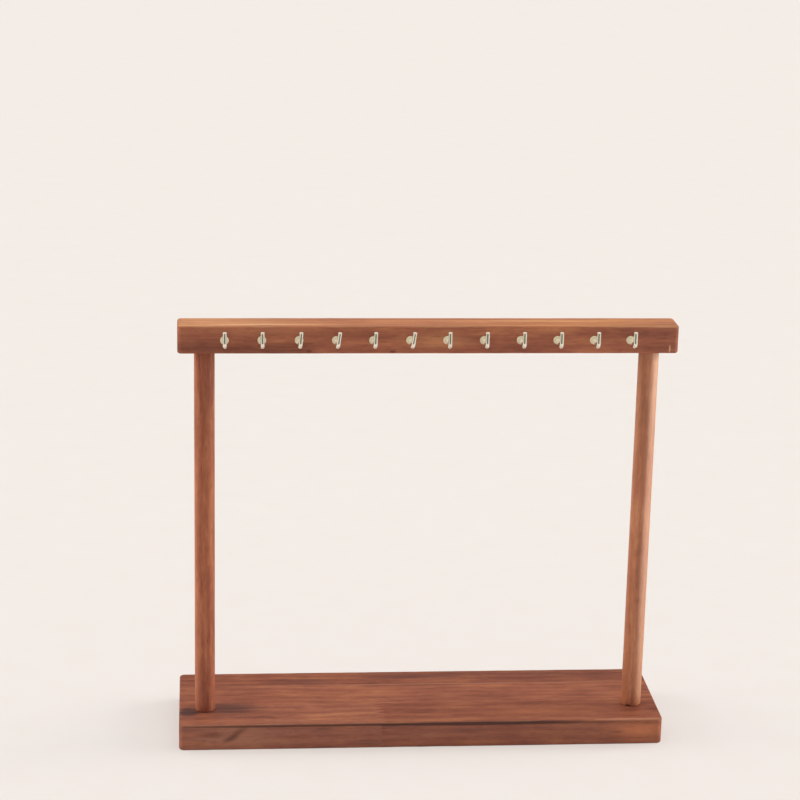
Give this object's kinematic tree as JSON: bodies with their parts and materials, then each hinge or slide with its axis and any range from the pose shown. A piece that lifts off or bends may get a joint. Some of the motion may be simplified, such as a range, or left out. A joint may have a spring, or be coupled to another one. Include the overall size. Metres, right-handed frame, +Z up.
{
  "type": "jewelry stand",
  "caption": "Free-standing wooden necklace stand: a flat base board, round posts and a top bar that carries a row of upturned metal screw hooks.",
  "frame": {"origin": "middle of the base board's underside, on the table", "axes": "+X along the bar to the right as seen from the hooks, +Y to the back, +Z up; the hooks face -Y"},
  "size_m": [0.291, 0.0814, 0.2581],
  "materials": {
    "stained_wood": "satin",
    "hook_nickel": "polished",
    "screw_zinc": "satin",
    "dowel_beech": "matte"
  },
  "bodies": {
    "root": {"base_board": "stained_wood", "left_post": "stained_wood", "right_post": "stained_wood", "top_bar": "stained_wood", "hook_01": "hook_nickel", "hook_02": "hook_nickel", "hook_03": "hook_nickel", "hook_04": "hook_nickel", "hook_05": "hook_nickel", "hook_06": "hook_nickel", "hook_07": "hook_nickel", "hook_08": "hook_nickel", "hook_09": "hook_nickel", "hook_10": "hook_nickel", "hook_11": "hook_nickel", "hook_12": "hook_nickel", "left_base_screw": "screw_zinc", "right_base_screw": "screw_zinc", "left_dowel_pin": "dowel_beech", "right_dowel_pin": "dowel_beech"}
  },
  "joints": []
}
